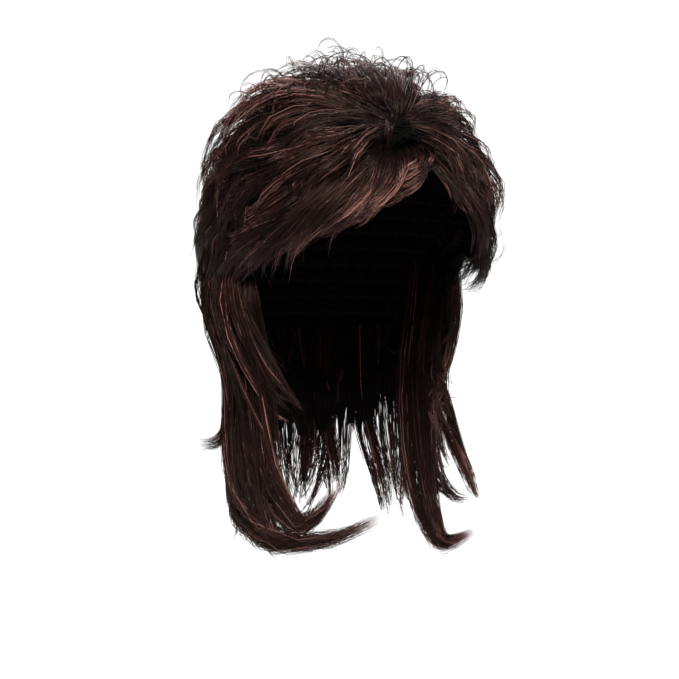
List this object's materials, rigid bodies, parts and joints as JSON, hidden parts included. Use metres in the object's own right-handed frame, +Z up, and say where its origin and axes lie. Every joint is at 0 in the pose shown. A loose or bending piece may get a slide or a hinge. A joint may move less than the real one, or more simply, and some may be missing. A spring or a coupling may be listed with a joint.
{
  "type": "mullet wig",
  "caption": "Dark mullet wig as worn: short tousled crown, swept fringe, feathered sides with sideburns and long nape locks with flicked tips, over a thin open cap.",
  "frame": {"origin": "inside of the cap at its very top, where the wig sits on a head", "axes": "+Z up, the wearer faces -Y, and the wearer's left hand is at +X"},
  "size_m": [0.1955, 0.222, 0.3285],
  "materials": {
    "cap_net": "matt net with sewn rows of hair",
    "hair_fibre": "soft sheen of fine dark brown strands"
  },
  "bodies": {
    "root": {"cap": "cap_net", "nape_hair_back": "hair_fibre", "nape_hair_right": "hair_fibre", "nape_hair_left": "hair_fibre", "back_hair": "hair_fibre", "side_hair_right": "hair_fibre", "side_hair_left": "hair_fibre", "fringe": "hair_fibre", "crown_hair": "hair_fibre"}
  },
  "joints": []
}
